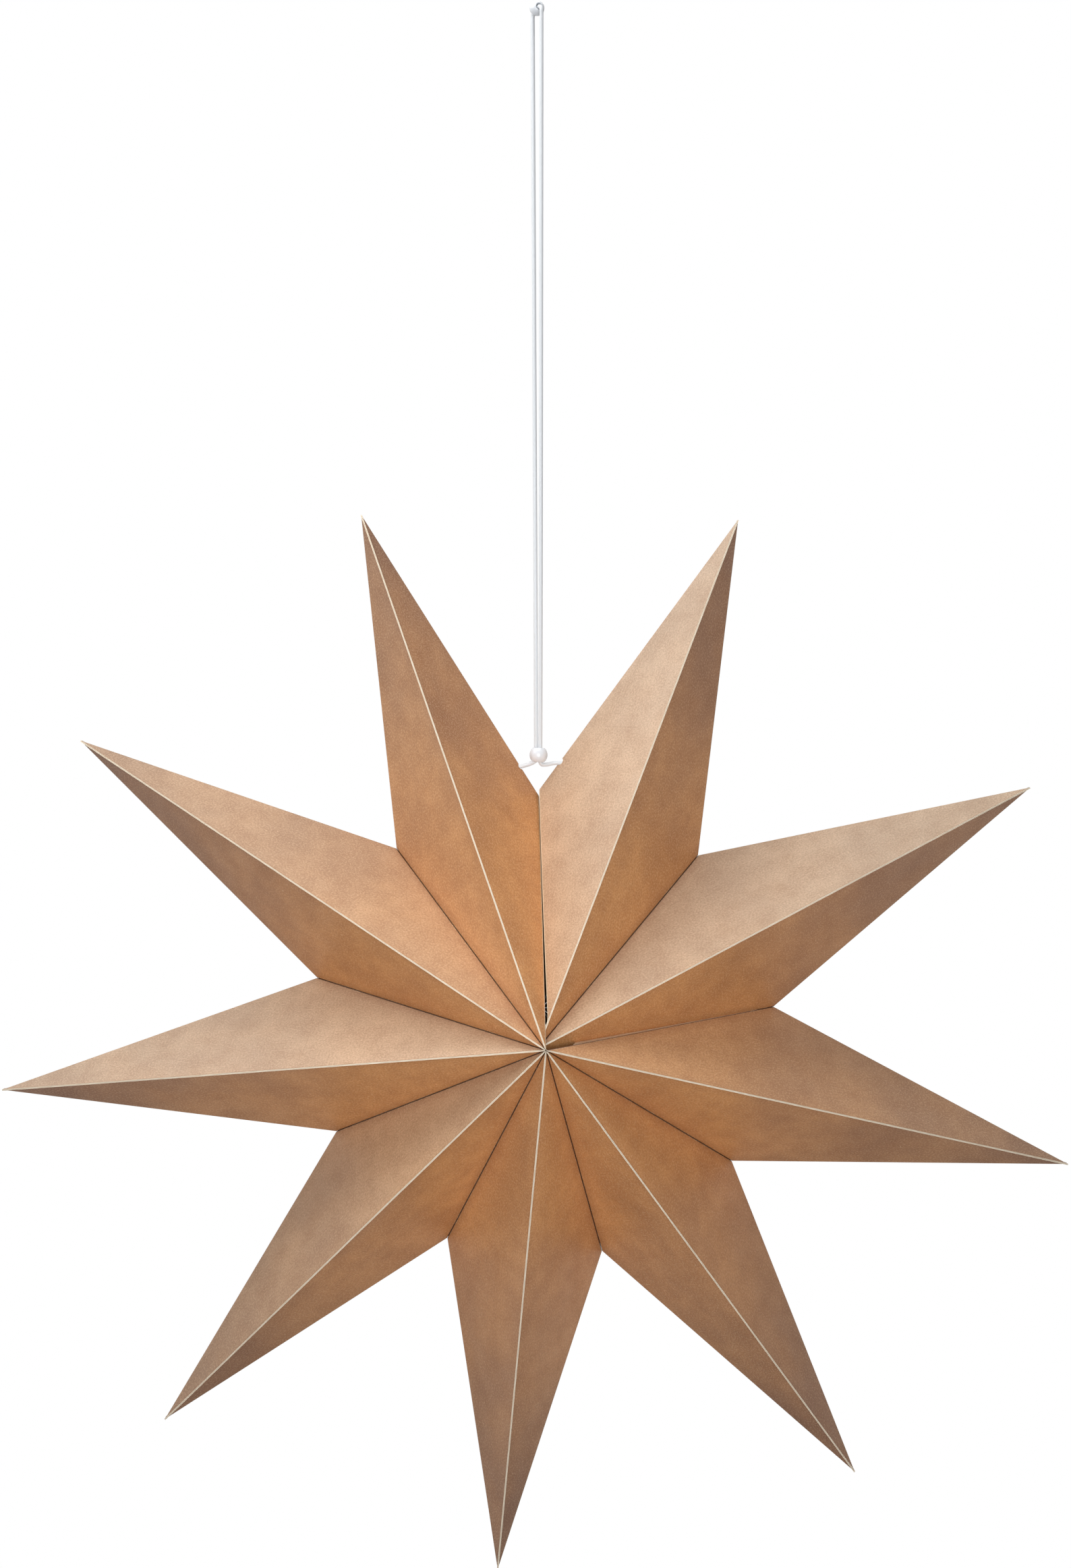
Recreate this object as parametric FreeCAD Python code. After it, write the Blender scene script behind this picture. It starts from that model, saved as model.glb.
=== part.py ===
"""Hanging paper star with nine hollow points, a looped cord and two beads, in millimetres.

The star is a fan of 18 die-cut card sheets. Each sheet is one half of a point: it is creased once,
along the star's outline, and reaches from the front apex over that crease to the back apex.
Ridge edges are glued in pairs and stand out as narrow fins. Valley edges are glued by tabs inside.
The fan closes at the top in an open seam, where the first two points tuck behind the last sheet.
A cord runs from a knot inside one end sheet, through two beads, to a knot inside the other.

Frame: X to the right, Y to the back, Z up, origin at the centre of the top bead.
"""
import FreeCAD, Part
import math
import os

from FreeCAD import Vector

# Star, about its own centre
TIP_RADIUS = 300.0            # centre to where the creases of a point meet
VALLEY_RADIUS = 127.5         # centre to the inner corner between two points
FRONT_DEPTH = 100.0           # middle plane to the front apex
BACK_DEPTH = 100.0            # middle plane to the back apex
SEAM_ANGLE = -1.03            # clockwise from straight up, in degrees
SEAM_GAP = 0.5                # between the two end sheets at their inner corners
SEAM_STEP = 3.5               # how much further out the first sheet's inner corner stands
SPREADS = (                   # how far each point's two sheets open, clockwise from the seam, degrees
    (22.0, 21.0),
    (21.8, 21.1),
    (19.7, 20.7),
    (19.6, 20.3),
    (19.5, 19.7),
    (19.5, 19.3),
    (20.1, 18.9),
    (19.4, 18.8),
    (19.8, 18.5),
)
TUCKED_SHEETS = 4             # sheets after the seam whose front corners slip behind the last sheet
TUCK_SIDEWAYS = 4.0
TUCK_BACK = 7.0
TUCK_CLEARANCE = 0.15         # between the tucked sheets and the sheet that covers them
TUCK_CORNER = 2.5             # trimmed off the tucked corners, out of sight

# Card
CARD = 0.4
FIN_HEIGHT = 1.5              # ridge flange outside the panels
TIP_CUT = 1.0                 # length trimmed square off each tip
TAB_WIDTH = 8.0               # valley tab inside the star
TAB_FROM_APEX = 18.0          # along the valley
TAB_FROM_CORNER = 12.0        # along the valley
HOLE_RADIUS = 2.5             # cord hole, punched on the crease of both end sheets
HOLE_FROM_CORNER = 19.0       # along the crease, from the inner corner

# Cord and beads
CORD_RADIUS = 1.1
TOP_BEAD_RADIUS = 4.1
TOP_BORE_RADIUS = 1.7
TOP_BORE_TURN = 20.0          # front mouth turned to the right, in degrees
SLIDING_BEAD_RADIUS = 5.0
SLIDING_BORE_RADIUS = 2.7
SLIDING_BEAD_TILT = 4.0       # top leans to the right, in degrees
SLIDING_BEAD_CENTRE = Vector(0.85, 0.0, -411.1)
BORE_MOUTH = 0.4              # countersink of both beads' bores
KNOT_RADIUS = 2.8
KNOT_LENGTH = 6.0
KNOT_SIDES = 8
KNOT_SHOULDER = 1.2           # chamfer at both ends of the knot
STAR_CENTRE = Vector(3.5, 0.0, -561.0)
CORD_POINTS = (               # left knot, up through both beads, down to the right knot
    Vector(-11.1, 0.0, -418.0),
    Vector(-0.8, 0.0, -415.8),
    Vector(-0.35, 0.0, -411.3),
    Vector(-2.3, 6.3, -7.0),
    Vector(-2.36, 6.48, 0.0),
    Vector(2.36, -6.48, 0.0),
    Vector(2.4, -6.3, -7.0),
    Vector(1.97, 0.0, -411.2),
    Vector(1.49, 0.0, -415.3),
    Vector(3.38, 0.0, -416.95),
    Vector(11.6, 0.0, -415.0),
    Vector(14.2, 0.0, -416.25),
)
ARC_SHARE = 0.45              # of the shorter run, taken by each bend of the cord

# Room for the trims to reach past the solids they work on
WIDE = 3.0
COVER_RISE = 5.0


def polar(radius, angle):
    """Point of the star's middle plane, at an angle in degrees clockwise from straight up."""
    turn = math.radians(angle)
    return Vector(radius * math.sin(turn), 0.0, radius * math.cos(turn))


def unit(vector):
    return vector / vector.Length


def plane_normal(a, b, c, away_from):
    """Unit normal of the plane through a, b and c, on the side that the last point isn't on."""
    normal = unit((b - a).cross(c - a))
    if normal.dot(away_from - a) > 0:
        normal = -normal
    return normal


def across(along, vector):
    """Unit vector of what is left of a vector once its share along a direction is taken off."""
    return unit(vector - along * vector.dot(along))


def polygon(corners):
    return Part.Face(Part.makePolygon(list(corners) + [corners[0]]))


def prism(corners, path):
    return polygon(corners).extrude(path)


def tetrahedron(a, b, c, d):
    faces = [polygon(corners) for corners in ((a, b, c), (a, b, d), (a, c, d), (b, c, d))]
    solid = Part.Solid(Part.Shell(faces))
    if solid.Volume < 0:
        solid.reverse()
    return solid


def grown(corners):
    """Triangle in the same plane, larger about its middle."""
    middle = (corners[0] + corners[1] + corners[2]) / 3.0
    return [middle + (corner - middle) * WIDE for corner in corners]


def panel(apex, tip, valley):
    """Flat half of a sheet, as thick as the card, inside the tetrahedron with the star's centre."""
    centre = Vector()
    inward = -plane_normal(apex, tip, valley, centre)
    return tetrahedron(apex, tip, valley, centre).common(prism(grown((apex, tip, valley)), inward * CARD))


def fin(apex, tip, valley):
    """Glued flange along a ridge: it stands out in the ridge plane and is rooted in the panel's bend."""
    centre = Vector()
    along = unit(tip - apex)
    outward = across(along, apex)
    side = -plane_normal(apex, tip, centre, valley)
    bend = math.sqrt(1.0 - plane_normal(apex, tip, valley, centre).dot(side) ** 2)
    root = -outward * CARD / bend
    rim = outward * FIN_HEIGHT
    start = apex - along * FIN_HEIGHT * WIDE
    end = tip + along * FIN_HEIGHT * WIDE * WIDE
    flange = prism((start + root, end + root, end + rim, start + rim), side * CARD)
    sector = prism((centre, tip * WIDE, valley * WIDE * WIDE), apex * WIDE)
    return flange.common(sector)


def tab(apex, tip, valley):
    """Glue tab along a valley, folded inward, with its ends cut at 45 degrees."""
    centre = Vector()
    along = unit(valley - apex)
    inward = -across(along, apex)
    side = -plane_normal(apex, valley, centre, tip)
    start = apex + along * TAB_FROM_APEX
    end = valley - along * TAB_FROM_CORNER
    slant = along * TAB_WIDTH
    drop = inward * TAB_WIDTH
    return prism((start, end, end - slant + drop, start + slant + drop), side * CARD)


def hole(apex, tip, valley):
    """Cutter for the half of a cord hole that lies in one panel, punched while the sheet was flat."""
    outward = plane_normal(apex, tip, valley, Vector())
    middle = valley + unit(tip - valley) * HOLE_FROM_CORNER
    return Part.makeCylinder(HOLE_RADIUS, CARD * WIDE, middle + outward * CARD, -outward)


def tip_trim(tip):
    """Block beyond the square cut at a tip."""
    out = unit(tip)
    width = Vector(0.0, FRONT_DEPTH, 0.0)
    height = out.cross(width)
    low = out * (TIP_RADIUS - TIP_CUT) - width - height
    corners = (low, low + width * 2.0, low + width * 2.0 + height * 2.0, low + height * 2.0)
    return prism(corners, out * TIP_RADIUS)


def cover(apex, tip, valley):
    """Space kept clear for the panel that lies over the tucked sheets, and for what shows above it."""
    centre = Vector()
    outward = plane_normal(apex, tip, valley, centre)
    inward = -across(unit(valley - apex), apex)
    slant = inward / -inward.dot(outward)
    spare = plane_normal(apex, valley, centre, tip) * TUCK_CLEARANCE
    corners = [corner - slant * COVER_RISE for corner in (apex + spare, tip, valley + spare)]
    return prism(corners, slant * (COVER_RISE + CARD + TUCK_CLEARANCE))


def sheet(apexes, tip, valley, has_tabs, has_hole):
    """One creased sheet: front and back panels with their fins, tabs and trims."""
    parts = []
    for apex in apexes:
        parts.append(panel(apex, tip, valley))
        parts.append(fin(apex, tip, valley))
        if has_tabs:
            parts.append(tab(apex, tip, valley))
    solid = parts[0].multiFuse(parts[1:]).cut(tip_trim(tip))
    if has_hole:
        for apex in apexes:
            solid = solid.cut(hole(apex, tip, valley))
    return solid


def rays():
    """Directions of the valleys and ridges in turn, from the first sheet's free edge to the last's."""
    opening = 360.0 - math.degrees(SEAM_GAP / VALLEY_RADIUS)
    share = opening / sum(sum(pair) for pair in SPREADS)
    angle = SEAM_ANGLE + (360.0 - opening) / 2.0
    found = [angle]
    for pair in SPREADS:
        for spread in pair:
            angle += spread * share
            found.append(angle)
    return found


def star_sheets():
    """Every sheet by name, about the star's centre."""
    directions = rays()
    front = Vector(0.0, -FRONT_DEPTH, 0.0)
    tucked = front + Vector(-TUCK_SIDEWAYS, TUCK_BACK, 0.0)
    back = Vector(0.0, BACK_DEPTH, 0.0)
    count = len(directions) - 1
    last_cover = cover(front, polar(TIP_RADIUS, directions[-2]), polar(VALLEY_RADIUS, directions[-1]))
    corner_start = tucked - Vector(TUCK_CORNER, COVER_RISE, TUCK_CORNER)
    corner = Part.makeBox(TUCK_CORNER * 2.0, FRONT_DEPTH / 2.0, TUCK_CORNER * 2.0, corner_start)
    sheets = {}
    for index in range(count):
        before_ridge = index % 2 == 0
        tip_ray = directions[index + 1] if before_ridge else directions[index]
        valley_ray = directions[index] if before_ridge else directions[index + 1]
        at_seam = index in (0, count - 1)
        valley_radius = VALLEY_RADIUS + (SEAM_STEP if index == 0 else 0.0)
        is_tucked = index < TUCKED_SHEETS
        apexes = (tucked if is_tucked else front, back)
        solid = sheet(apexes, polar(TIP_RADIUS, tip_ray), polar(valley_radius, valley_ray), not at_seam, at_seam)
        if is_tucked:
            solid = solid.cut(last_cover).cut(corner)
        side = "a" if before_ridge else "b"
        sheets["point_%d_sheet_%s" % (index // 2 + 1, side)] = solid.removeSplitter()
    return sheets


def cord_path():
    """Straight runs joined by tangent arcs, and the radius of each arc."""
    edges = []
    radii = []
    begin = CORD_POINTS[0]
    for before, point, after in zip(CORD_POINTS, CORD_POINTS[1:], CORD_POINTS[2:]):
        arriving = unit(point - before)
        leaving = unit(after - point)
        half_turn = arriving.getAngle(leaving) / 2.0
        reach = ARC_SHARE * min((point - before).Length, (after - point).Length)
        radius = reach / math.tan(half_turn)
        start = point - arriving * reach
        end = point + leaving * reach
        to_centre = unit(leaving - arriving)
        middle = point + to_centre * (radius / math.cos(half_turn) - radius)
        edges.append(Part.LineSegment(begin, start).toShape())
        edges.append(Part.Arc(start, middle, end).toShape())
        radii.append(radius)
        begin = end
    edges.append(Part.LineSegment(begin, CORD_POINTS[-1]).toShape())
    return Part.Wire(edges), radii


def hanging_cord():
    path, radii = cord_path()
    start = unit(CORD_POINTS[1] - CORD_POINTS[0])
    section = Part.Wire(Part.makeCircle(CORD_RADIUS, CORD_POINTS[0], start))
    cord = path.makePipeShell([section], True, True)
    print("cord length %.1f, tube volume %.1f, section times length %.1f" % (
        path.Length, cord.Volume, math.pi * CORD_RADIUS ** 2 * path.Length))
    print("cord bend radii " + " ".join("%.1f" % radius for radius in radii))
    return cord


def cord_knot(end, before):
    """Stopper knot behind a hole: a lump with flats, chamfered at both ends."""
    up = Vector(0.0, 0.0, 1.0)
    turns = [2.0 * math.pi * step / KNOT_SIDES for step in range(KNOT_SIDES)]
    corners = [Vector(math.cos(turn), math.sin(turn), 0.0) * KNOT_RADIUS for turn in turns]
    lump = polygon(corners).extrude(up * KNOT_LENGTH)
    rims = [edge for edge in lump.Edges if abs(edge.tangentAt(edge.FirstParameter).z) < 0.5]
    knot = lump.makeChamfer(KNOT_SHOULDER, rims)
    knot.Placement = FreeCAD.Placement(end, FreeCAD.Rotation(up, end - before))
    return knot


def bead(radius, bore_radius, bore_axis, centre):
    """Turned ball with a bore whose mouths are countersunk."""
    mouth_radius = bore_radius + BORE_MOUTH
    mouth_height = math.sqrt(radius ** 2 - mouth_radius ** 2)
    wall_height = mouth_height - BORE_MOUTH
    mouth = Vector(mouth_radius, 0.0, mouth_height)
    wall = Vector(bore_radius, 0.0, wall_height)
    low_mouth = Vector(mouth_radius, 0.0, -mouth_height)
    low_wall = Vector(bore_radius, 0.0, -wall_height)
    outline = [
        Part.LineSegment(low_wall, wall).toShape(),
        Part.LineSegment(wall, mouth).toShape(),
        Part.Arc(mouth, Vector(radius, 0.0, 0.0), low_mouth).toShape(),
        Part.LineSegment(low_mouth, low_wall).toShape(),
    ]
    up = Vector(0.0, 0.0, 1.0)
    ball = Part.Face(Part.Wire(outline)).revolve(Vector(), up, 360)
    ball.Placement = FreeCAD.Placement(centre, FreeCAD.Rotation(up, bore_axis))
    return ball


def beads():
    """The top bead, bored across the loop's plane, and the sliding bead, bored for both strands."""
    turn = math.radians(TOP_BORE_TURN)
    across_loop = Vector(math.sin(turn), -math.cos(turn), 0.0)
    tilt = math.radians(SLIDING_BEAD_TILT)
    along_strands = Vector(math.sin(tilt), 0.0, math.cos(tilt))
    top = bead(TOP_BEAD_RADIUS, TOP_BORE_RADIUS, across_loop, Vector())
    sliding = bead(SLIDING_BEAD_RADIUS, SLIDING_BORE_RADIUS, along_strands, SLIDING_BEAD_CENTRE)
    return top, sliding


def main():
    nodes = {}
    for name, solid in star_sheets().items():
        solid.translate(STAR_CENTRE)
        nodes[name] = solid
    nodes["hanging_cord"] = hanging_cord()
    nodes["cord_knot_left"] = cord_knot(CORD_POINTS[0], CORD_POINTS[1])
    nodes["cord_knot_right"] = cord_knot(CORD_POINTS[-1], CORD_POINTS[-2])
    nodes["top_bead"], nodes["sliding_bead"] = beads()
    os.makedirs("parts", exist_ok=True)
    for name, solid in nodes.items():
        solid.exportStep("parts/%s.step" % name)
        print("%s: %d solid, %.1f mm3, valid %s" % (name, len(solid.Solids), solid.Volume, solid.isValid()))


main()
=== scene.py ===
import math

import bmesh
import bpy
import numpy as np
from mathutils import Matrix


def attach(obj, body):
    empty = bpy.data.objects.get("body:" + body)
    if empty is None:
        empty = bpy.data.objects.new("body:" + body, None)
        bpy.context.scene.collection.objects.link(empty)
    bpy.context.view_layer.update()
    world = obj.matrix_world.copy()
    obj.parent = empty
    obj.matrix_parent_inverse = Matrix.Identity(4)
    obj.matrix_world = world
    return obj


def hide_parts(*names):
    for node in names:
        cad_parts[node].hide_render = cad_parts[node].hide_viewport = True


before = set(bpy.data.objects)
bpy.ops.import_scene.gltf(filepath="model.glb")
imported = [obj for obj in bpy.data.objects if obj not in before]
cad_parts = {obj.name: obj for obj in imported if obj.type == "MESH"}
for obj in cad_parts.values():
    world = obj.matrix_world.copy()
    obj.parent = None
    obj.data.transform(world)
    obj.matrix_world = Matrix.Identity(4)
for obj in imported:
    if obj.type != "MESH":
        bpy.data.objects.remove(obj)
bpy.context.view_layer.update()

# A hanging paper star: eighteen folded card sheets, a cord with two beads, and a studio round them.
# Lengths are in metres and angles in degrees.

rng = np.random.default_rng(19)

# The star, with the values of the CAD source unless a comment says otherwise
STAR = np.array((0.0035, 0.0, -0.561))        # centre, midway between the two apexes
TIP_RADIUS = 0.3
VALLEY_RADIUS = 0.1275
DEPTH = 0.1                   # middle plane to either apex
SEAM_ANGLE = -1.03            # clockwise from straight up
SEAM_GAP = 0.00015            # finer than in the solids, so that no white slit shows
SEAM_STEP = 0.0035            # how much further out the first sheet's inner corner stands
SPREADS = ((22.0, 21.0), (21.8, 21.1), (19.7, 20.7), (19.6, 20.3), (19.5, 19.7),
           (19.5, 19.3), (20.1, 18.9), (19.4, 18.8), (19.8, 18.5))
TUCKED_SHEETS = 4             # sheets after the seam whose front corners slip behind the last one
TUCKED_APEX = np.array((-0.004, -0.093, 0.0))
TUCK_CLEARANCE = 0.00015
CARD = 0.0004                 # thickness
FIN_HEIGHT = 0.0015           # ridge flange outside the panels
TIP_CUT = 0.001
TAB_WIDTH, TAB_FROM_APEX, TAB_FROM_CORNER = 0.008, 0.018, 0.012
HOLE_FROM_CORNER = 0.019
HOLE_RADII = (0.0022, 0.0017)                 # first and last sheet, finer than in the solids

# The cord and its beads, with the values of the CAD source
ROUTE_MM = ((-11.1, 0.0, -418.0), (-0.8, 0.0, -415.8), (-0.35, 0.0, -411.3), (-2.3, 6.3, -7.0),
            (-2.36, 6.48, 0.0), (2.36, -6.48, 0.0), (2.4, -6.3, -7.0), (1.97, 0.0, -411.2),
            (1.49, 0.0, -415.3), (3.38, 0.0, -416.95), (11.6, 0.0, -415.0), (14.2, 0.0, -416.25))
CORD_RADIUS, CORD_SIDES = 0.0011, 14
ROUTE_STEPS = 64              # between two points of the route
TOP_BEAD_CENTRE = (0.0, 0.0, 0.0)
TOP_BEAD_RADIUS, TOP_BORE_RADIUS = 0.0041, 0.0017
TOP_BORE_TURN = 20.0          # front mouth turned to the right
SLIDING_BEAD_CENTRE = (0.00085, 0.0, -0.4111)
SLIDING_BEAD_RADIUS, SLIDING_BORE_RADIUS = 0.005, 0.0027
SLIDING_BEAD_TILT = 4.0       # top leans to the right
BORE_MOUTH = 0.0004

# Fine forms that the solids leave out
TUCKED_LAP = 0.0070           # most that the last tucked sheet reaches under its neighbour
SEAM_OPENING = 0.0013         # most that the seam stands open beside the last sheet's edge
JOINT_GAP = 0.00006           # half of the dark line between two glued sheets
VALLEY_ROLL = 0.0003          # how far the coat rolls in along a valley
ROLL_WIDTH = 0.0008           # strip beside the valley that rolls in
FOLD_ROUND = 0.00012          # how far a folded edge falls short of a sharp one
BOW = 0.0007                  # most that a panel bulges or sinks
SHARP_FROM = 14.0             # the least turn between two faces that shows as an edge
KNOT_SIZE = 0.0013            # how far the cord swings out in a knot
KNOT_CORD_RADIUS = 0.0010     # pulled a little thinner than the rest
KNOT_CORD_SIDES = 12
KNOT_STAND_OFF = 0.0030       # middle of the knot past the end of the route

# The studio
CAMERA_PLACE, CAMERA_TURN = (-0.0117, -1.1529, -0.4271), -0.54
CAMERA_LENS, CAMERA_SENSOR = 48.08, 36.0      # millimetres
FLOOR_LEVEL, FLOOR_REACH = -1.3, 9.0
FADE_FROM, FADE_TO = 0.4, 1.1                 # the floor turns white between these distances
WORLD_ON_STAR = 0.05          # strength of the world where it lights the star


# Node helpers

def material(name):
    """New material with an empty node tree."""
    made = bpy.data.materials.new(name)
    made.use_nodes = True
    made.node_tree.nodes.clear()
    return made


class Nodes:
    """Adds nodes to a tree, with sockets given by name or number."""

    def __init__(self, tree):
        self.tree = tree

    def add(self, kind, inputs=(), **settings):
        node = self.tree.nodes.new("ShaderNode" + kind)
        for key, value in settings.items():
            setattr(node, key, value)
        for socket, value in dict(inputs).items():
            if isinstance(value, bpy.types.NodeSocket):
                self.tree.links.new(value, node.inputs[socket])
            else:
                node.inputs[socket].default_value = value
        return node

    def math(self, operation, a, b=0.0):
        return self.add("Math", {0: a, 1: b}, operation=operation).outputs[0]

    def mix(self, factor, a, b, blend="MIX"):
        node = self.add("Mix", {0: factor, 6: a, 7: b}, data_type="RGBA", blend_type=blend)
        return node.outputs[2]

    def noise(self, vector, scale, detail=2.0, roughness=0.5):
        return self.add("TexNoise", {"Vector": vector, "Scale": scale, "Detail": detail,
                                     "Roughness": roughness}).outputs["Fac"]

    def rescale(self, value, low, high, to_low=0.0, to_high=1.0):
        node = self.add("MapRange", {"Value": value, "From Min": low, "From Max": high,
                                     "To Min": to_low, "To Max": to_high})
        return node.outputs[0]

    def uv(self, name):
        return self.add("UVMap", uv_map=name).outputs[0]

    def split(self, vector):
        return self.add("SeparateXYZ", {0: vector}).outputs

    def background_rays(self):
        """1 for rays that see the white background, and 0 for rays that light the star."""
        path = self.add("LightPath").outputs
        mirrored = self.math("MAXIMUM", path["Is Glossy Ray"], path["Is Transmission Ray"])
        return self.math("MAXIMUM", path["Is Camera Ray"], mirrored)

    def surface(self, height, strength, distance, inputs):
        """Ends a material in a shader over a bump of the given height."""
        bump = self.add("Bump", {"Height": height, "Strength": strength, "Distance": distance})
        shader = self.add("BsdfPrincipled", {"Normal": bump.outputs[0], **inputs})
        self.add("OutputMaterial", {0: shader.outputs[0]})


def rgb(red, green, blue):
    """Scene colour of an sRGB colour given from 0 to 255."""
    def linear(value):
        value /= 255.0
        return value / 12.92 if value <= 0.04045 else ((value + 0.055) / 1.055) ** 2.4
    return (linear(red), linear(green), linear(blue), 1.0)


# Materials. The maps of a sheet: "flat" is a place in the panel's plane, "near" the distances to
# valley and outer fold, and "edge" is 1 on the two sheets that end at the seam.

def ink_tone_and_painted_light(n, clouds):
    """Golden in the middle and browner towards the points, partly painted bounce light and shade and
    partly the ink's own tone, with a painted sheen where a panel faces up and left.
    """
    golden, brown, painted_sheen_colour = rgb(214, 152, 94), rgb(152, 106, 72), rgb(204, 180, 154)
    place = n.add("VectorMath", {0: n.add("TexCoord").outputs["Object"], 1: tuple(STAR)},
                  operation="SUBTRACT").outputs[0]
    from_centre = n.add("VectorMath", {0: place}, operation="LENGTH").outputs["Value"]
    # Partly painted light: the golden middle stands in for light bouncing between the points, and the
    # browner points for their shade; the rest is the ink's own tone.
    wavering = n.math("ADD", from_centre, n.rescale(clouds, 0.3, 0.7, -0.035, 0.035))
    colour = n.mix(n.rescale(wavering, 0.1, 0.29), golden, brown)
    # Painted sheen: a pale highlight on panels that face up and left towards the key lamp, stronger
    # higher up where the lamps are nearer.
    normal = n.add("NewGeometry").outputs["True Normal"]
    faces_key_lamp = n.add("VectorMath", {0: normal, 1: (-0.5, 0.0, 0.866)},
                   operation="DOT_PRODUCT").outputs["Value"]
    nearer_top_lamps = n.rescale(n.split(place)[2], -0.2, 0.12, 0.45, 1.0)
    painted_sheen_amount = n.math("MULTIPLY", n.rescale(faces_key_lamp, 0.25, 0.8), nearer_top_lamps)
    painted_sheen_amount = n.math("MULTIPLY", painted_sheen_amount, n.rescale(clouds, 0.3, 0.7, 0.85, 1.0))
    return n.mix(painted_sheen_amount, colour, painted_sheen_colour)


def clouded(n, colour, clouds, mottle, grain):
    """Clouds, blotches and the grain of the metallic ink over a colour; the pale grain flecks are
    painted glints of the ink's flakes.
    """
    dim = n.mix(1.0, colour, rgb(206, 190, 180), "MULTIPLY")
    colour = n.mix(n.rescale(clouds, 0.42, 0.62, 0.0, 0.35), colour, dim)
    colour = n.mix(n.rescale(mottle, 0.4, 0.68, 0.0, 0.45), colour, dim)
    # Painted glints: pale flecks where the ink's metal flakes would catch the light.
    painted_flake_glints = n.mix(0.45, colour, rgb(255, 226, 190))
    colour = n.mix(n.rescale(grain, 0.48, 0.7, 0.0, 0.55), colour, painted_flake_glints)
    return n.mix(n.rescale(grain, 0.5, 0.3, 0.0, 0.45), colour, dim)


def painted_valley_shade_and_pale_edge(n, colour, valley, free):
    """Painted shade beside the glued valleys and a darker painted shade line in them, and pale card
    along a free edge.
    """
    glued = n.math("SUBTRACT", 1.0, free)
    # Painted shade: a soft darkening up to 6 mm from each glued valley and a dark line in it where
    # the panels shade each other; the pale band is the free edge's cut card.
    bands = (
        (glued, 0.0, 0.006, 0.3, rgb(126, 72, 36)),
        (glued, 0.0002, 0.0006, 0.85, rgb(66, 32, 16)),
        (free, 0.0003, 0.0005, 0.8, rgb(236, 212, 178)),
    )
    for where, full, gone, strength, tint in bands:
        amount = n.math("MULTIPLY", n.rescale(valley, full, gone, strength, 0.0), where)
        colour = n.mix(amount, colour, tint)
    return colour


def chipped(n, colour, flat, valley, fold):
    """Broken hair lines where the coat cracked along valleys and outer folds, and pale specks."""
    chips = n.rescale(n.noise(flat, 650.0, 3.0, 0.8), 0.48, 0.6)
    patches = n.rescale(n.noise(flat, 40.0, 2.0), 0.42, 0.6)
    rising = n.rescale(valley, 0.00035, 0.0005)
    falling = n.rescale(valley, 0.0006, 0.00085, 1.0, 0.0)
    line = n.math("MULTIPLY", rising, falling)
    line = n.math("MAXIMUM", line, n.rescale(fold, 0.0002, 0.0006, 1.0, 0.0))
    cracked = n.math("MULTIPLY", n.math("MULTIPLY", chips, patches), line)
    colour = n.mix(n.math("MULTIPLY", cracked, 0.8), colour, rgb(240, 214, 176))
    specks = n.rescale(n.noise(flat, 420.0, 1.0, 0.4), 0.79, 0.83)
    return n.mix(n.math("MULTIPLY", specks, 0.5), colour, rgb(236, 208, 168))


def coat_material():
    """Bronze-gold printed coat over pale card: clouded, finely grained, worn at the folds, with
    painted sheen, glints, bounce light and valley shade in its colour.
    """
    made = material("card_coat")
    n = Nodes(made.node_tree)
    flat = n.uv("flat")
    near = n.split(n.uv("near"))
    valley, fold = near[0], near[1]
    free = n.split(n.uv("edge"))[0]
    clouds = n.noise(flat, 14.0, 3.0, 0.6)
    mottle = n.noise(flat, 70.0, 5.0, 0.65)
    grain = n.noise(flat, 1000.0, 2.0, 0.6)
    fibres = n.noise(flat, 420.0, 3.0, 0.7)
    colour = clouded(n, ink_tone_and_painted_light(n, clouds), clouds, mottle, grain)
    colour = painted_valley_shade_and_pale_edge(n, colour, valley, free)
    colour = chipped(n, colour, flat, valley, fold)
    roughness = n.math("ADD", n.rescale(mottle, 0.3, 0.7, 0.42, 0.52),
                       n.rescale(grain, 0.3, 0.7, -0.06, 0.08))
    relief = n.math("ADD", n.math("MULTIPLY", grain, 0.9), n.math("MULTIPLY", fibres, 0.6))
    relief = n.math("ADD", relief, n.math("MULTIPLY", mottle, 1.8))
    n.surface(relief, 0.35, 0.00012, {"Base Color": colour, "Roughness": roughness,
                                      "Specular IOR Level": 0.6})
    return made


def edge_material():
    """Cut edge of the card: pale fibre core, browned in places by the coat."""
    made = material("card_edge")
    n = Nodes(made.node_tree)
    flat = n.uv("flat")
    stain = n.rescale(n.noise(flat, 160.0, 3.0, 0.7), 0.42, 0.66)
    fine = n.noise(flat, 1800.0, 2.0, 0.6)
    colour = n.mix(n.math("MULTIPLY", stain, 0.35), rgb(255, 240, 216), rgb(226, 186, 138))
    colour = n.mix(n.rescale(fine, 0.35, 0.7, 0.0, 0.3), colour, rgb(255, 247, 230))
    n.surface(fine, 0.4, 0.0001, {"Base Color": colour, "Roughness": 0.8})
    return made


def inside_material():
    """Uncoated inner side of the card."""
    made = material("card_inside")
    n = Nodes(made.node_tree)
    flat = n.uv("flat")
    fibres = n.noise(flat, 900.0, 3.0, 0.7)
    clouds = n.noise(flat, 40.0, 2.0)
    colour = n.mix(n.rescale(clouds, 0.3, 0.7), rgb(222, 206, 180), rgb(234, 220, 198))
    colour = n.mix(n.rescale(fibres, 0.5, 0.8, 0.0, 0.3), colour, rgb(198, 176, 146))
    n.surface(fibres, 0.3, 0.0001, {"Base Color": colour, "Roughness": 0.85})
    return made


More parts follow.
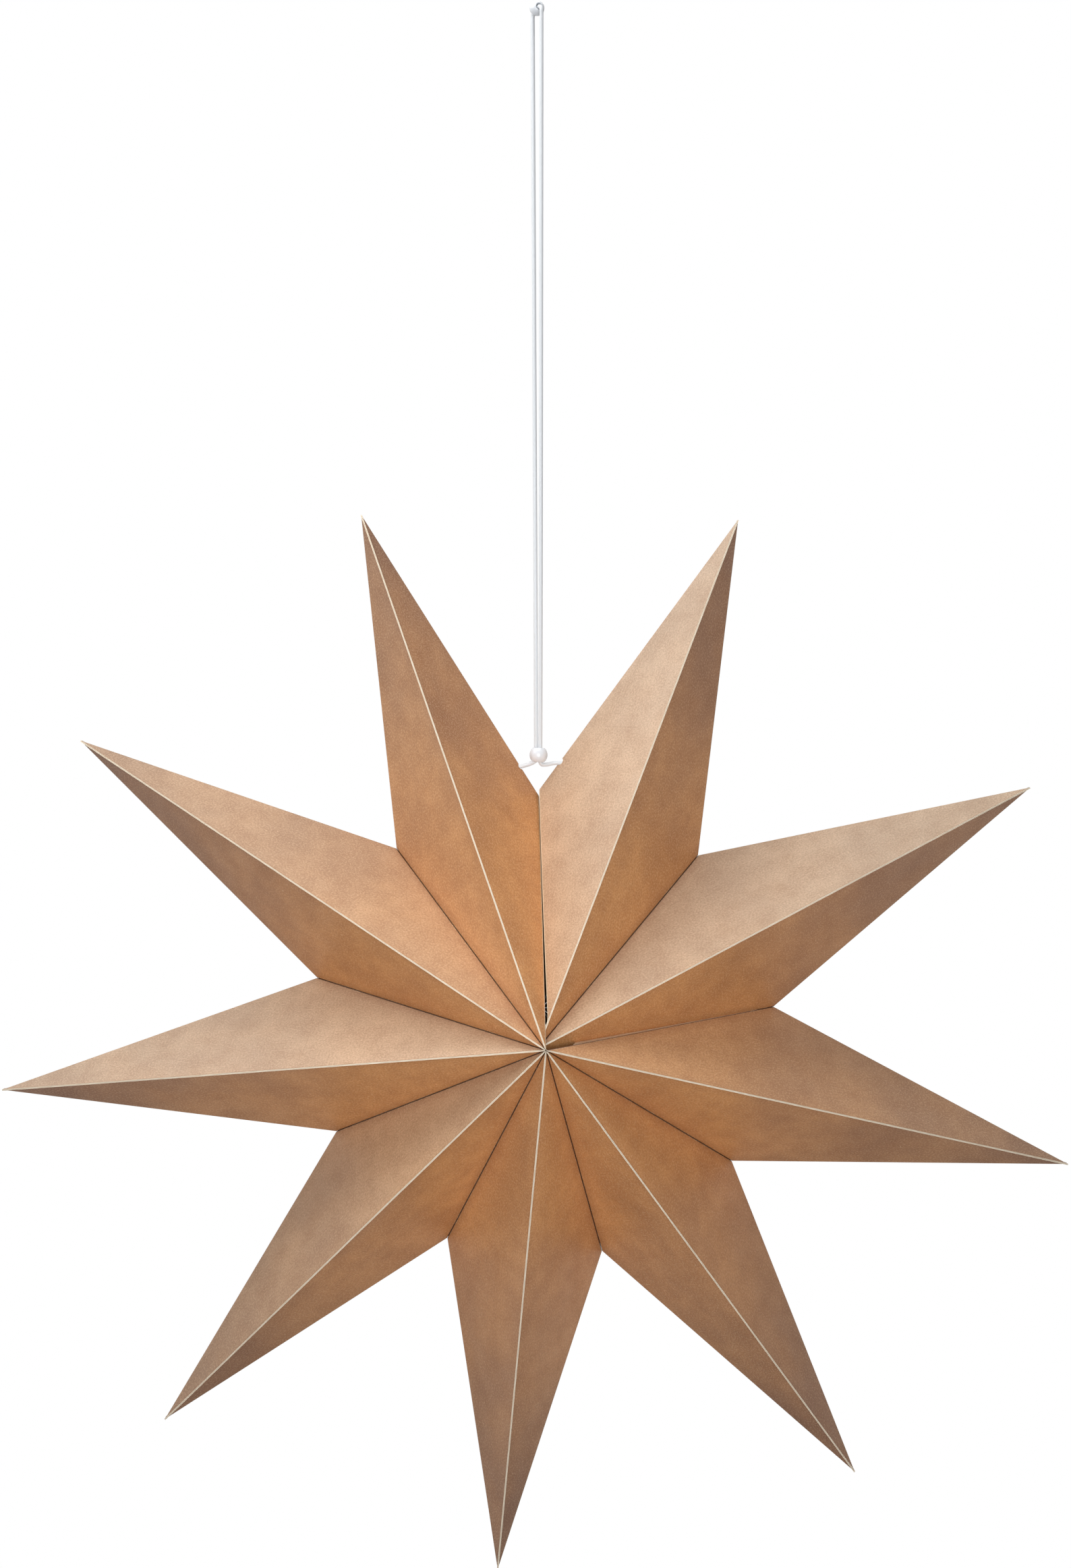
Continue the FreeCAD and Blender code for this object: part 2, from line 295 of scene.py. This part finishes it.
def cord_material():
    """White braided cord: two families of plaits that cross, with fine yarn in each, and painted
    shade in the grooves between the plaits.
    """
    made = material("white_cord")
    n = Nodes(made.node_tree)
    place = n.split(n.uv("along"))
    along, around = place[0], place[1]
    plaits_around, plaits_along = 8.0, 1050.0
    plaits = []
    for sign in (1.0, -1.0):
        turn = n.math("ADD", n.math("MULTIPLY", around, plaits_around),
                      n.math("MULTIPLY", along, sign * plaits_along))
        plaits.append(n.math("ABSOLUTE", n.math("SINE", n.math("MULTIPLY", turn, math.pi))))
    weave = n.math("MAXIMUM", *plaits)
    yarn = n.noise(n.add("TexCoord").outputs["Object"], 6000.0, 2.0, 0.6)
    # Painted shade: the colour darkens where the weave sinks between the plaits.
    colour = n.mix(n.rescale(weave, 0.6, 1.0), rgb(218, 222, 226), rgb(244, 248, 252))
    colour = n.mix(n.rescale(yarn, 0.3, 0.7, 0.0, 0.2), colour, rgb(226, 230, 234))
    height = n.math("ADD", weave, n.math("MULTIPLY", yarn, 0.3))
    n.surface(height, 0.6, 0.00012, {"Base Color": colour, "Roughness": 0.75,
                                     "Sheen Weight": 0.3})
    return made


def bead_material():
    """Moulded glossy white bead with faint clouds and handling marks."""
    made = material("white_bead")
    n = Nodes(made.node_tree)
    place = n.add("TexCoord").outputs["Object"]
    clouds = n.noise(place, 260.0, 3.0)
    marks = n.noise(place, 2600.0, 3.0, 0.7)
    colour = n.mix(n.rescale(clouds, 0.3, 0.7), rgb(236, 241, 247), rgb(243, 247, 252))
    roughness = n.rescale(marks, 0.35, 0.7, 0.22, 0.32)
    n.surface(marks, 0.08, 0.00005, {"Base Color": colour, "Roughness": roughness,
                                     "Coat Weight": 0.3, "Coat Roughness": 0.12})
    return made


COAT, EDGE, INSIDE = coat_material(), edge_material(), inside_material()
CORD, BEAD = cord_material(), bead_material()
COAT_SLOT, EDGE_SLOT, INSIDE_SLOT = 0, 1, 2


# Vectors

def unit(vector):
    return vector / np.linalg.norm(vector)


def polar(radius, angle):
    """A place in the middle plane, with the angle clockwise from straight up."""
    turn = math.radians(angle)
    return np.array((radius * math.sin(turn), 0.0, radius * math.cos(turn)))


def towards(normal, point):
    """The normal, turned to the side where the point is."""
    return normal if normal @ point > 0 else -normal


def across(along, vector):
    """Direction of the part of the vector that stands square to the other one."""
    return unit(vector - along * (vector @ along))


# Meshes

def show(mesh, name):
    piece = bpy.data.objects.new(name, mesh)
    bpy.context.scene.collection.objects.link(piece)
    return piece


def stands_for(piece, node):
    """Puts a piece on the one body in place of its solid."""
    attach(piece, "root")
    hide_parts(node)
    return piece


def add_map(mesh, name, places):
    """Adds a map with one place for each corner of each face, in the order of the faces."""
    layer = mesh.uv_layers.new(name=name)
    layer.data.foreach_set("uv", np.array(places, np.float32).ravel())


def smooth(mesh):
    """Shades the mesh as one rounded surface."""
    mesh.polygons.foreach_set("use_smooth", [True] * len(mesh.polygons))


def outward_faces(mesh):
    """Turns a closed mesh's faces outward when its volume comes out negative."""
    work = bmesh.new()
    work.from_mesh(mesh)
    if work.calc_volume(signed=True) < 0.0:
        bmesh.ops.reverse_faces(work, faces=work.faces)
    work.to_mesh(mesh)
    work.free()
    return mesh


def boxed(outline, path, name):
    """Closed mesh that carries a polygon along a path."""
    count = len(outline)
    points = [tuple(p) for p in outline] + [tuple(p + path) for p in outline]
    faces = [list(range(count))[::-1], list(range(count, 2 * count))]
    for spot in range(count):
        after = (spot + 1) % count
        faces.append([spot, after, count + after, count + spot])
    mesh = bpy.data.meshes.new(name)
    mesh.from_pydata(points, [], faces)
    return mesh


def cut(piece, cutters):
    """Cuts the piece with closed meshes, whose cut faces take the card's edge."""
    for number, cutter in enumerate(cutters):
        outward_faces(cutter)
        cutter.materials.append(EDGE)
        change = piece.modifiers.new("cut_%d" % number, "BOOLEAN")
        change.operation = "DIFFERENCE"
        change.solver = "FAST"
        change.object = show(cutter, "cutter_%d" % number)
    bpy.context.view_layer.update()
    evaluated = piece.evaluated_get(bpy.context.evaluated_depsgraph_get())
    result = bpy.data.meshes.new_from_object(evaluated)
    for change in list(piece.modifiers):
        tool = change.object
        piece.modifiers.remove(change)
        bpy.data.objects.remove(tool)
    piece.data = result


def joined(meshes):
    """Adds the other meshes to the first one, in its material for the inside."""
    work = bmesh.new()
    for number, mesh in enumerate(meshes):
        before = len(work.faces)
        work.from_mesh(mesh)
        work.faces.ensure_lookup_table()
        for face in work.faces[before:] if number else ():
            face.material_index = INSIDE_SLOT
    work.to_mesh(meshes[0])
    work.free()


# Sheets

class Half:
    """Front or back half of a sheet, about the star's centre.

    The half is a triangle of apex, tip and inner corner. Its rows run across it, side by side with
    the outer fold, from the ridge to the valley. Each row is a ring of points: the flange's rim and
    the outer side on the way there, the inner side and the rim on the way back.
    """

    ROWS = 44
    SPANS = 15
    NEAR_VALLEY = (0.0022, 0.0011, 0.0006, 0.0002, 0.0)
    AT_RIM = (0.0, 0.01)      # distances to valley and fold that the materials get there

    def __init__(self, apex, tip, valley, free_edge, above=None, lap=0.0):
        self.apex, self.tip, self.valley = apex, tip, valley
        self.free_edge = free_edge
        self.above = above
        self.lap = lap
        self.ridge_way = unit(tip - apex)
        self.ridge_out = across(self.ridge_way, apex)
        self.valley_way = unit(valley - apex)
        self.valley_in = -across(self.valley_way, apex)
        self.side = towards(unit(np.cross(apex, tip)), valley)
        self.valley_side = towards(unit(np.cross(apex, valley)), tip)
        self.normal = towards(unit(np.cross(tip - apex, valley - apex)), apex)
        self.row_way = unit(valley - tip)
        self.fold_out = across(self.row_way, tip)
        self.out = unit(tip)
        self.crease_length = np.linalg.norm(valley - tip)
        self.height = np.linalg.norm(np.cross(apex - tip, self.row_way))
        self.ridge_sine = np.linalg.norm(np.cross(self.side, self.normal))
        self.valley_sine = np.linalg.norm(np.cross(self.valley_side, self.normal))
        self.row_side = self.row_way @ self.side
        self.row_in = self.row_way @ -self.valley_side
        self.phase = rng.uniform(0.0, 2.0 * math.pi, 5)
        self.bow = rng.uniform(-1.0, 1.0, 2) * BOW

    def bulge(self, a, b):
        """How far a panel stands off its plane: a from ridge to valley, b from apex to fold."""
        shape = 4.0 * a * (1.0 - a) * math.sin(math.pi * b) ** 0.8
        wave = 1.0 + 0.5 * math.sin(4.0 * b + self.phase[0])
        wave += 0.3 * math.sin(9.0 * b + 3.0 * a + self.phase[1])
        ripple = 0.3 * self.bow[1] * math.sin(6.0 * b + self.phase[2])
        return shape * (self.bow[0] * wave + ripple)

    def fin_height(self, b):
        """Flange height, cut a little unevenly and low where the flanges crowd at the apex."""
        uneven = 0.08 * math.sin(23.0 * b + self.phase[3]) + 0.06 * math.sin(61.0 * b + self.phase[4])
        return FIN_HEIGHT * (0.85 + uneven) * min(1.0, 0.6 + b * 5.0)

    def reach(self, start, length, b):
        """Length of a row, stopped short of the last sheet's edge by the seam's opening."""
        if self.above is None or not self.free_edge:
            return length
        seam = self.above.valley_side
        opening = TUCK_CLEARANCE + SEAM_OPENING * (1.0 - b) ** 2
        return min(length, max(0.0, (-opening - start @ seam) / (self.row_way @ seam)))

    def spans(self, first, length):
        """Places along a row: even steps, and closer ones beside the valley."""
        room = max(length - first, 0.0)
        ends = [min(end, 0.3 * room * end / self.NEAR_VALLEY[0]) for end in self.NEAR_VALLEY]
        even = [first + (room - ends[0]) * step / self.SPANS for step in range(self.SPANS)]
        return even + [length - end for end in ends]

    def skins(self, point, lift, to_valley):
        """Outer and inner side of the panel at a point, rolled in beside a glued valley."""
        roll = VALLEY_ROLL * max(0.0, 1.0 - to_valley / ROLL_WIDTH) ** 2
        sunk = 0.0 if self.free_edge else roll
        outer = point + self.normal * lift + self.valley_in * sunk
        return outer, outer - self.normal * CARD

    def on_own_side(self, point):
        """The point, brought back from beyond the plane of the valley."""
        edge = 0.0 if self.free_edge else JOINT_GAP - self.lap
        return point + self.valley_side * max(0.0, edge - point @ self.valley_side)

    def under(self, point):
        """How far a point has to go back to lie under the last sheet."""
        if self.above is None or point @ self.above.valley_side < -TUCK_CLEARANCE:
            return 0.0
        depth = (self.above.apex - point) @ self.above.normal
        return max(0.0, CARD + TUCK_CLEARANCE - depth)

    def cut_square(self, point):
        """The point, drawn back along the ridge from beyond the cut tip."""
        past = (point @ self.out - (TIP_RADIUS - TIP_CUT)) / (self.ridge_way @ self.out)
        return point - self.ridge_way * max(0.0, past)

    def closed(self, outer, inner, near):
        """The ring, what its materials need of distances, and its places in the panel's plane."""
        flat = self.flat(outer)
        return outer + inner[::-1], near + near[::-1], flat + flat[::-1]

    def row(self, b):
        """The ring at a share b of the way from the apex to the outer fold."""
        start = self.apex + (self.tip - self.apex) * b
        full = self.crease_length * b
        gap = min(CARD, 0.9 * self.row_side * full + 2.0 * JOINT_GAP)
        first = gap / self.row_side
        lap = self.lap * (1.0 - b) * min(1.0, b * 20.0)
        length = max(self.reach(start, full, b), first) + lap
        rim = self.ridge_out * self.fin_height(b)
        outer = [start + self.side * gap + rim]
        inner = [start + self.side * JOINT_GAP + rim]
        near = [self.AT_RIM]
        for span in self.spans(first, length):
            to_valley = (length - span) * self.row_in / self.valley_sine
            lift = self.bulge(span / full, b)
            high, low = self.skins(start + self.row_way * span, lift, to_valley)
            if len(outer) == 1:
                low = start + self.side * JOINT_GAP - self.ridge_out * CARD / self.ridge_sine
            low = self.on_own_side(low)
            outer.append(self.on_own_side(high))
            inner.append(low + self.side * max(0.0, JOINT_GAP - low @ self.side))
            near.append((to_valley, (1.0 - b) * self.height))
        pressed = [self.under(point) for point in outer]
        ring, near, flat = self.closed(outer, inner, near)
        back = self.above.normal if self.above else self.normal
        ring = [point - back * depth for point, depth in zip(ring, pressed + pressed[::-1])]
        return [self.cut_square(point) for point in ring], near, flat

    def flat(self, points):
        """Places in the panel's own plane, along the ridge and away from it."""
        aside = np.cross(self.normal, self.ridge_way)
        from_apex = [point - self.apex for point in points]
        return [(point @ self.ridge_way, abs(point @ aside)) for point in from_apex]

    def fold(self):
        """The ring at the outer fold, which both halves share."""
        first = max(CARD / self.row_side, TIP_CUT / -(self.row_way @ self.out))
        corner = self.tip + self.row_way * first
        outer = [corner]
        inner = [corner - self.side * (corner @ self.side - JOINT_GAP)]
        near = [(0.0, 0.0)]
        rounded = self.fold_out * FOLD_ROUND
        inside = self.fold_out * CARD * self.height / (self.tip @ self.fold_out)
        for span in self.spans(first, self.crease_length):
            point = self.tip + self.row_way * span
            outer.append(point - rounded)
            inner.append(point - inside)
            near.append((self.crease_length - span, 0.0))
        return self.closed(outer, inner, near)

    def rings(self):
        """All rows from the apex to the fold, closer together at both ends."""
        steps = np.linspace(0.0, 1.0, self.ROWS)
        places = [0.001] + [0.004 + 0.985 * step ** 1.15 for step in steps] + [0.9935, 0.9965]
        return [self.row(b) for b in places]


def ring_slot(column, size, free_edge):
    """Material of the strip that starts at a point of the ring."""
    skin = size // 2
    if column == size - 1 or (column == skin - 1 and free_edge):
        return EDGE_SLOT
    return COAT_SLOT if column < skin else INSIDE_SLOT


def sheet_mesh(name, index, halves):
    """Closed mesh of one sheet: rings run from the front apex over the fold to the back apex."""
    front, back = halves
    rings = front.rings() + [front.fold()] + back.rings()[::-1]
    size = len(rings[0][0])
    fold_row = len(rings) // 2
    edge = (1.0 if front.free_edge else 0.0, 0.0)
    faces, slots, flat_map, near_map = [], [], [], []

    def add(slot, spots):
        faces.append([row * size + column for row, column in spots])
        slots.append(slot)
        for row, column in spots:
            along, aside = rings[row][2][column]
            flat_map.append((along + 0.37 * index, aside + (5.0 if row > fold_row else 0.0)))
            near_map.append(rings[row][1][column])

    for row in range(len(rings) - 1):
        for column in range(size):
            following = (column + 1) % size       # after the last point comes the first
            add(ring_slot(column, size, front.free_edge),
                [(row, column), (row, following), (row + 1, following), (row + 1, column)])
    add(EDGE_SLOT, [(0, column) for column in range(size)][::-1])
    add(EDGE_SLOT, [(len(rings) - 1, column) for column in range(size)])
    points = np.concatenate([np.array(ring) for ring, _, _ in rings]) + STAR
    mesh = bpy.data.meshes.new(name)
    mesh.from_pydata([tuple(p) for p in points], [], faces)
    add_map(mesh, "flat", flat_map)
    add_map(mesh, "near", near_map)
    add_map(mesh, "edge", [edge] * len(near_map))
    for slot_material in (COAT, EDGE, INSIDE):
        mesh.materials.append(slot_material)
    mesh.polygons.foreach_set("material_index", slots)
    return outward_faces(mesh)


def hole_cutter(half, radius):
    """Round bar through a panel where the cord passes."""
    sides, rise, length = 40, 0.003, 0.005
    middle = half.valley - half.row_way * HOLE_FROM_CORNER + STAR + half.normal * rise
    other_way = np.cross(half.normal, half.row_way)
    circle = [middle + (half.row_way * math.cos(turn) + other_way * math.sin(turn)) * radius
              for turn in np.linspace(0.0, 2.0 * math.pi, sides, endpoint=False)]
    return boxed(circle, -half.normal * length, "hole")


def tab_mesh(half):
    """Glue tab inside the star, with its ends cut at 45 degrees."""
    reach = np.linalg.norm(half.valley - half.apex)
    slant = half.valley_way * TAB_WIDTH
    base = half.apex + half.valley_side * JOINT_GAP + half.valley_in * CARD
    start = base + half.valley_way * TAB_FROM_APEX
    end = base + half.valley_way * (reach - TAB_FROM_CORNER)
    drop = half.valley_in * (TAB_WIDTH - CARD)
    corners = [p + STAR for p in (start, end, end - slant + drop, start + slant + drop)]
    return outward_faces(boxed(corners, half.valley_side * CARD * 0.9, "tab"))


def star_rays():
    """Angles of the valleys and ridges by turns, from the seam round to the seam."""
    opening = 360.0 - math.degrees(SEAM_GAP / VALLEY_RADIUS)
    share = opening / sum(sum(pair) for pair in SPREADS)
    angle = SEAM_ANGLE + (360.0 - opening) / 2.0
    rays = [angle]
    for pair in SPREADS:
        for spread in pair:
            angle += spread * share
            rays.append(angle)
    return rays


def sheet_corners(rays, index):
    """Tip and inner corner of a sheet. The even sheets come before their point's ridge."""
    ridge, valley = (index + 1, index) if index % 2 == 0 else (index, index + 1)
    step = SEAM_STEP if index == 0 else 0.0
    return polar(TIP_RADIUS, rays[ridge]), polar(VALLEY_RADIUS + step, rays[valley])


def build_sheets():
    """The eighteen sheets, clockwise from the seam."""
    rays = star_rays()
    last = len(rays) - 2
    front, back = np.array((0.0, -DEPTH, 0.0)), np.array((0.0, DEPTH, 0.0))
    above = Half(front, *sheet_corners(rays, last), True)
    for index in range(last + 1):
        corners = sheet_corners(rays, index)
        free_edge = index in (0, last)
        if index < TUCKED_SHEETS:
            lap = TUCKED_LAP if index == TUCKED_SHEETS - 1 else 0.0
            front_half = Half(TUCKED_APEX, *corners, free_edge, above, lap)
        else:
            front_half = Half(front, *corners, free_edge)
        halves = (front_half, Half(back, *corners, free_edge))
        node = "point_%d_sheet_%s" % (index // 2 + 1, "ab"[index % 2])
        piece = show(sheet_mesh(node + "_card", index, halves), node + "_card")
        if free_edge:
            cut(piece, [hole_cutter(half, HOLE_RADII[index % 2]) for half in halves])
        else:
            joined([piece.data] + [tab_mesh(half) for half in halves])
        smooth(piece.data)
        piece.data.set_sharp_from_angle(angle=math.radians(SHARP_FROM))
        stands_for(piece, node)


# Cord, knots and beads

def route_line(points):
    """Points along the smooth line of a NURBS route."""
    curve = bpy.data.curves.new("route", "CURVE")
    curve.dimensions = "3D"
    spline = curve.splines.new("NURBS")
    spline.points.add(len(points) - 1)
    for control, point in zip(spline.points, points):
        control.co = (*point, 1.0)
    spline.order_u = 3
    spline.use_endpoint_u = True
    spline.resolution_u = ROUTE_STEPS
    line = bpy.data.objects.new("route", curve)
    mesh = bpy.data.meshes.new_from_object(line)
    found = np.array([vertex.co[:] for vertex in mesh.vertices])
    bpy.data.objects.remove(line)
    bpy.data.curves.remove(curve)
    bpy.data.meshes.remove(mesh)
    return found


def lengths_along(points):
    """How far along the line each of its points is."""
    steps = np.linalg.norm(np.diff(points, axis=0), axis=1)
    return np.concatenate(([0.0], np.cumsum(steps)))


def one_material_mesh(name, vertices, faces, looks):
    mesh = bpy.data.meshes.new(name)
    mesh.from_pydata([tuple(vertex) for vertex in vertices], [], faces)
    mesh.materials.append(looks)
    return mesh


def tube_points(points, radius, around):
    """Rings round a line that don't twist from one to the next."""
    ways = np.gradient(points, axis=0)
    ways /= np.linalg.norm(ways, axis=1)[:, None]
    side = across(ways[0], np.array((0.0, 1.0, 0.3)))
    vertices = []
    for point, way in zip(points, ways):
        side = across(way, side)
        up = np.cross(way, side)
        for step in range(around):
            turn = 2.0 * math.pi * step / around
            vertices.append(point + radius * (side * math.cos(turn) + up * math.sin(turn)))
    return vertices


def tube_mesh(points, radius, around, name):
    """Tube of cord round a line, with a map of length along it and turn round it."""
    places = lengths_along(points)
    faces, corners = [], []
    for row in range(len(points) - 1):
        for step in range(around):
            following = (step + 1) % around
            faces.append([row * around + step, row * around + following,
                          (row + 1) * around + following, (row + 1) * around + step])
            here, there = places[row], places[row + 1]
            left, right = step / around, (step + 1) / around
            corners += [(here, left), (here, right), (there, right), (there, left)]
    for row, order in ((0, -1), (len(points) - 1, 1)):
        faces.append([row * around + step for step in range(around)][::order])
        corners += [(places[row], 0.0)] * around
    mesh = one_material_mesh(name, tube_points(points, radius, around), faces, CORD)
    add_map(mesh, "along", corners)
    outward_faces(mesh)
    smooth(mesh)
    return mesh


def knot_line(end, before):
    """Overhand knot drawn tight: the cord's end goes round itself."""
    along = unit(end - before)
    side = across(along, np.array((0.0, 1.0, 0.0)))
    up = np.cross(along, side)
    found = []
    for turn in np.linspace(0.0, 2.0 * math.pi, 90):
        x = KNOT_SIZE * (math.sin(turn) + 1.6 * math.sin(2.0 * turn)) * 0.5
        y = KNOT_SIZE * (math.cos(turn) - 1.6 * math.cos(2.0 * turn)) * 0.5
        z = KNOT_STAND_OFF - KNOT_SIZE * 0.8 * math.sin(3.0 * turn)
        found.append(end + along * z + side * x + up * y)
    return np.array(found)


def bead_outline(radius, bore):
    """Half section of a ball with a straight bore whose mouths are rounded over."""
    rim = bore + BORE_MOUTH
    height = math.sqrt(radius ** 2 - rim ** 2)
    lowest = math.atan2(height, rim)
    ball = [(radius * math.cos(t), radius * math.sin(t)) for t in np.linspace(-lowest, lowest, 41)]
    lip = [(bore + BORE_MOUTH * (1.0 - math.sin(t)), height - BORE_MOUTH * (1.0 - math.cos(t)))
           for t in np.linspace(0.0, math.pi / 2.0, 7)[1:]]
    straight = height - BORE_MOUTH
    wall = [(bore, level) for level in np.linspace(straight, -straight, 9)[1:-1]]
    return ball + lip + wall + [(across_axis, -level) for across_axis, level in lip[::-1]]


def bead_mesh(outline, name, centre, axis, around=72):
    """Closed outline turned about an axis."""
    upright = abs(axis[2]) > 0.9
    side = across(axis, np.array((1.0, 0.0, 0.0) if upright else (0.31, 0.2, 0.9)))
    up = np.cross(axis, side)
    vertices, faces = [], []
    count = len(outline)
    for step in range(around):
        turn = 2.0 * math.pi * step / around
        way = side * math.cos(turn) + up * math.sin(turn)
        vertices += [centre + way * radius + axis * height for radius, height in outline]
        here, there = step * count, (step + 1) % around * count
        for spot in range(count):
            after = (spot + 1) % count
            faces.append([here + spot, there + spot, there + after, here + after])
    mesh = one_material_mesh(name, vertices, faces, BEAD)
    outward_faces(mesh)
    smooth(mesh)
    return mesh


def build_knots(route):
    """A tied knot at either end of the route."""
    knots = []
    for node, end, before in (("cord_knot_left", route[0], route[1]),
                              ("cord_knot_right", route[-1], route[-2])):
        name = node + "_tied"
        mesh = tube_mesh(knot_line(end, before), KNOT_CORD_RADIUS, KNOT_CORD_SIDES, name)
        knots.append(stands_for(show(mesh, name), node))
    return knots


def build_beads():
    """The small bead at the top of the loop and the larger one above the seam."""
    turn, tilt = math.radians(TOP_BORE_TURN), math.radians(SLIDING_BEAD_TILT)
    beads = (
        ("top_bead", TOP_BEAD_RADIUS, TOP_BORE_RADIUS, TOP_BEAD_CENTRE,
         (math.sin(turn), -math.cos(turn), 0.0)),
        ("sliding_bead", SLIDING_BEAD_RADIUS, SLIDING_BORE_RADIUS, SLIDING_BEAD_CENTRE,
         (math.sin(tilt), 0.0, math.cos(tilt))),
    )
    made = []
    for node, radius, bore, centre, axis in beads:
        name = node + "_ball"
        mesh = bead_mesh(bead_outline(radius, bore), name, np.array(centre), unit(np.array(axis)))
        made.append(stands_for(show(mesh, name), node))
    return made


def build_hanger():
    """The cord with its two knots and two beads."""
    route = np.array(ROUTE_MM) / 1000.0
    points = route_line(route)
    name = "hanging_cord_braid"
    cord = show(tube_mesh(points, CORD_RADIUS, CORD_SIDES, name), name)
    stands_for(cord, "hanging_cord")
    on_cord = build_knots(route) + build_beads()


# Stage, light and camera

def floor_material():
    """Pale floor that holds the shadow and fades to white with the distance."""
    made = material("floor")
    n = Nodes(made.node_tree)
    place = n.split(n.add("TexCoord").outputs["Object"])
    squares = [n.math("MULTIPLY", place[axis], place[axis]) for axis in (0, 1)]
    distance = n.math("SQRT", n.math("ADD", *squares))
    white = n.math("MULTIPLY", n.background_rays(), n.rescale(distance, FADE_FROM, FADE_TO))
    diffuse = n.add("BsdfDiffuse", {"Color": (0.86, 0.86, 0.86, 1.0)})
    glow = n.add("Emission", {"Color": (1.0, 1.0, 1.0, 1.0), "Strength": 1.0})
    mixed = n.add("MixShader", {0: white, 1: diffuse.outputs[0], 2: glow.outputs[0]})
    n.add("OutputMaterial", {0: mixed.outputs[0]})
    return made


def build_stage():
    """A plain square floor."""
    signs = ((-1.0, -1.0), (1.0, -1.0), (1.0, 1.0), (-1.0, 1.0))
    corners = [(x * FLOOR_REACH, y * FLOOR_REACH, FLOOR_LEVEL) for x, y in signs]
    mesh = bpy.data.meshes.new("floor")
    mesh.from_pydata(corners, [], [(0, 1, 2, 3)])
    mesh.materials.append(floor_material())
    show(mesh, "floor")


def build_world():
    """White where the camera sees it, and only a faint light on the star."""
    world = bpy.data.worlds.new("studio")
    bpy.context.scene.world = world
    world.use_nodes = True
    world.node_tree.nodes.clear()
    n = Nodes(world.node_tree)
    strength = n.rescale(n.background_rays(), 0.0, 1.0, WORLD_ON_STAR, 1.0)
    background = n.add("Background", {"Color": (1.0, 1.0, 1.0, 1.0), "Strength": strength})
    n.add("OutputWorld", {0: background.outputs[0]})


def softbox(name, place, size, power):
    """Square soft lamp that points at the middle of the star."""
    data = bpy.data.lights.new(name, "AREA")
    data.size = size
    data.energy = power
    lamp = bpy.data.objects.new(name, data)
    bpy.context.scene.collection.objects.link(lamp)
    lamp.location = place
    lamp.visible_camera = False
    way = unit(STAR - np.array(place))
    turn = math.atan2(way[1], way[0]) - math.pi / 2.0
    lamp.rotation_euler = (math.acos(-way[2]), 0.0, turn)


def build_camera():
    """The camera where the photograph was taken from, fitted to the points of the star."""
    data = bpy.data.cameras.new("camera")
    data.sensor_width = CAMERA_SENSOR
    data.lens = CAMERA_LENS
    camera = bpy.data.objects.new("camera", data)
    bpy.context.scene.collection.objects.link(camera)
    camera.location = CAMERA_PLACE
    camera.rotation_euler = (math.pi / 2.0, 0.0, math.radians(CAMERA_TURN))
    bpy.context.scene.camera = camera


build_sheets()
build_hanger()
build_stage()
build_world()
softbox("key", (-0.70, -0.20, 0.39), 0.8, 7.4)
softbox("top", (0.0, -0.20, 0.62), 0.8, 4.6)
softbox("front", (0.0, -0.90, -0.48), 0.5, 5.4)
build_camera()
bpy.context.scene.view_settings.view_transform = "Standard"
